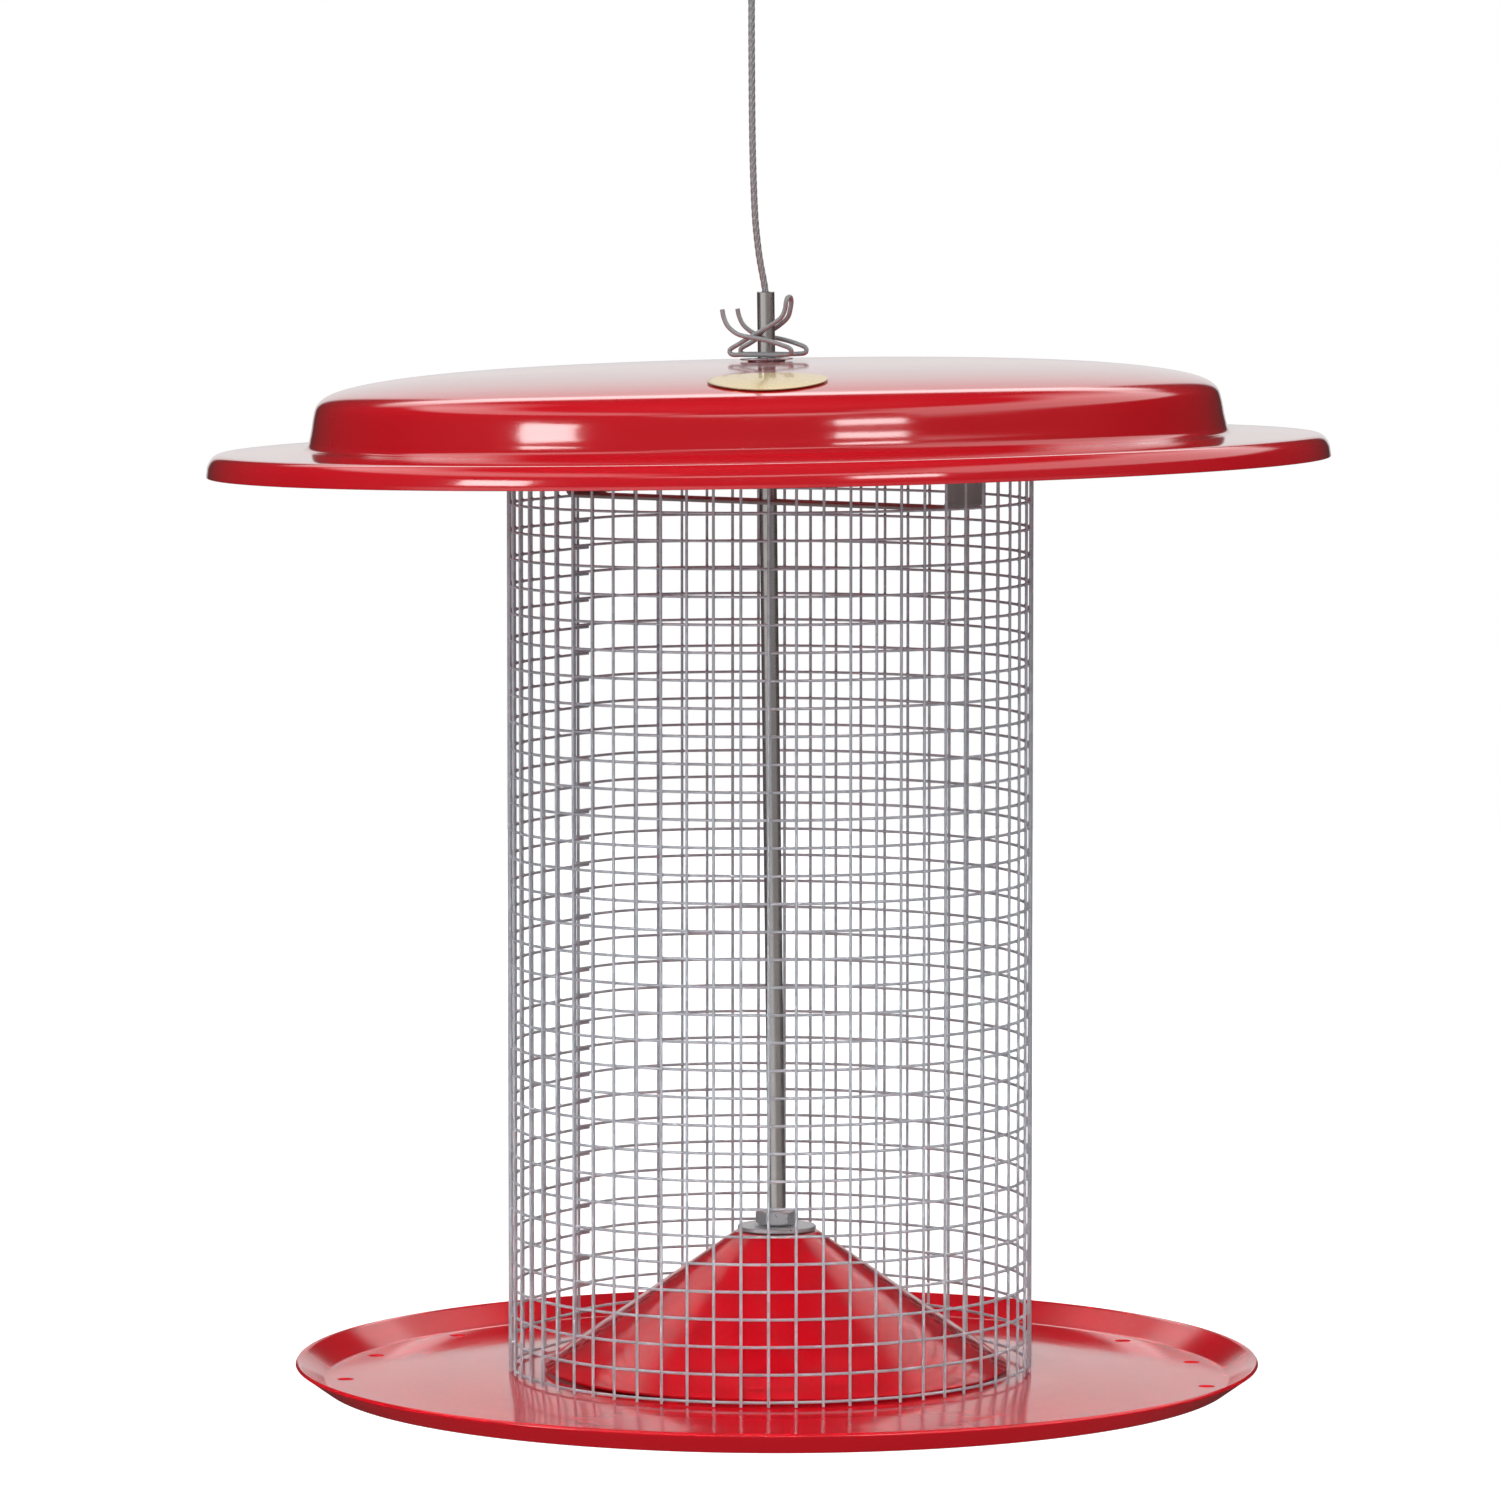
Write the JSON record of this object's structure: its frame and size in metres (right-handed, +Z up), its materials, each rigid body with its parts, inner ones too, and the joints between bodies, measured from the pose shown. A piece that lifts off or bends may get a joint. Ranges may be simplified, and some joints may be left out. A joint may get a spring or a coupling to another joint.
{
  "type": "hanging bird feeder",
  "caption": "Hanging seed feeder: a wire mesh cylinder over a cone on a round tray, with a domed lid that slides up a central stem, a spring clip and a wire rope to hang it by.",
  "frame": {"origin": "top of the hanging loop's eye, where it sits on a hook", "axes": "+Z up along the hanging cable, +X to the right of the picture's view, +Y away from the viewer"},
  "size_m": [0.2625, 0.2626, 0.3818],
  "materials": {
    "red_enamel": "glossy red baked enamel on spun sheet metal",
    "galvanised_wire": "hot-dip galvanised welded wire, dull grey",
    "zinc_plate": "bright zinc plate",
    "drawn_steel": "bright drawn steel tube",
    "spring_wire": "nickelled spring wire",
    "bare_strap": "bare mill-finish steel strap, darkened",
    "wire_rope": "galvanised stranded wire rope",
    "aluminium_sleeve": "pressed bare aluminium",
    "gold_foil": "pale gold foil sticker, plain"
  },
  "bodies": {
    "frame": {"tray": "red_enamel", "seed_cone": "red_enamel", "cone_washer": "zinc_plate", "upper_nut": "zinc_plate", "tray_washer": "zinc_plate", "lower_nut": "zinc_plate", "stem_tube": "drawn_steel", "cable_stop": "drawn_steel", "cable_in_stem": "wire_rope", "hanging_cable": "wire_rope", "cable_sleeve": "aluminium_sleeve", "cable_loop": "wire_rope", "mesh_cylinder": "galvanised_wire", "crossbar": "bare_strap"},
    "eyelet": {"lid_eyelet": "zinc_plate"},
    "cover": {"lid": "red_enamel", "lid_label": "gold_foil"},
    "clip": {"spring_clip": "spring_wire"}
  },
  "joints": [
    {"name": "lid_lift", "type": "slide", "parent": "frame", "child": "eyelet", "axis": [-0.0122, 0, 0.9999], "range_m": [0, 0.06]},
    {"name": "lid_turn", "type": "hinge", "parent": "eyelet", "child": "cover", "pos_m": [0.00239, 0, -0.12776], "axis": [-0.0195, 0, 0.9998], "continuous": true},
    {"name": "clip_slide", "type": "slide", "parent": "eyelet", "child": "clip", "axis": [-0.0122, 0, 0.9999], "range_m": [0, 0.01]}
  ]
}
